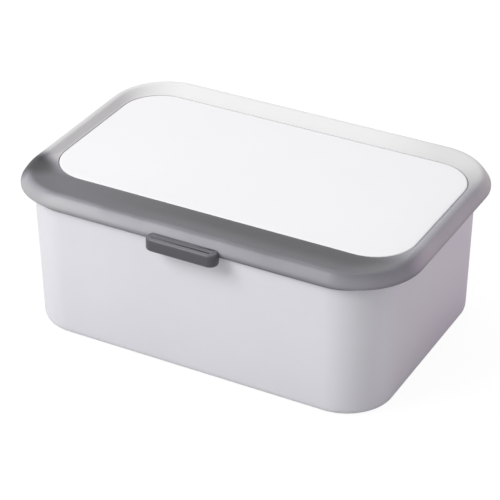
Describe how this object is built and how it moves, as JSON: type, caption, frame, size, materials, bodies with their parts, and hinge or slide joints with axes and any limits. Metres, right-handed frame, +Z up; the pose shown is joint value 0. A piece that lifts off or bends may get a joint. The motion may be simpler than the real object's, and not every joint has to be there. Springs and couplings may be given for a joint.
{
  "type": "wet wipes dispenser",
  "caption": "Refillable wet wipes dispenser: white tub with rounded corners, hinged grey-rimmed lid with a thumb tab and white panel, inner seal and weighted plate.",
  "frame": {"origin": "middle of the underside of the whole box, on the surface that the feet stand on", "axes": "+X along the length, to the right seen from the front; -Y towards the front with the thumb tab; +Z up"},
  "size_m": [0.224, 0.1604, 0.0847],
  "materials": {
    "tub_white": "satin moulded",
    "panel_white": "satin moulded",
    "rim_grey": "semi-gloss moulded",
    "liner_white": "matt moulded",
    "seal_soft": "soft matt silicone",
    "foot_rubber": "matt rubber",
    "pin_steel": "drawn steel"
  },
  "bodies": {
    "tub_body": {"tub": "tub_white", "hinge_pin_left": "pin_steel", "hinge_pin_right": "pin_steel", "foot_front_left": "foot_rubber", "foot_front_right": "foot_rubber", "foot_rear_left": "foot_rubber", "foot_rear_right": "foot_rubber"},
    "lid": {"lid_frame": "rim_grey", "lid_panel": "panel_white", "lid_liner": "liner_white", "lid_seal": "seal_soft"},
    "plate": {"press_plate": "liner_white", "press_plate_cap": "liner_white", "plate_weight_left": "pin_steel", "plate_weight_right": "pin_steel", "plate_grommet": "seal_soft"}
  },
  "joints": [
    {"name": "lid_hinge", "type": "hinge", "parent": "tub_body", "child": "lid", "pos_m": [0, 0.07675, 0.0693], "axis": [-1, 0, 0], "range_deg": [0, 110]},
    {"name": "plate_slide", "type": "slide", "parent": "tub_body", "child": "plate", "axis": [0, 0, 1], "range_m": [0, 0.05]}
  ]
}
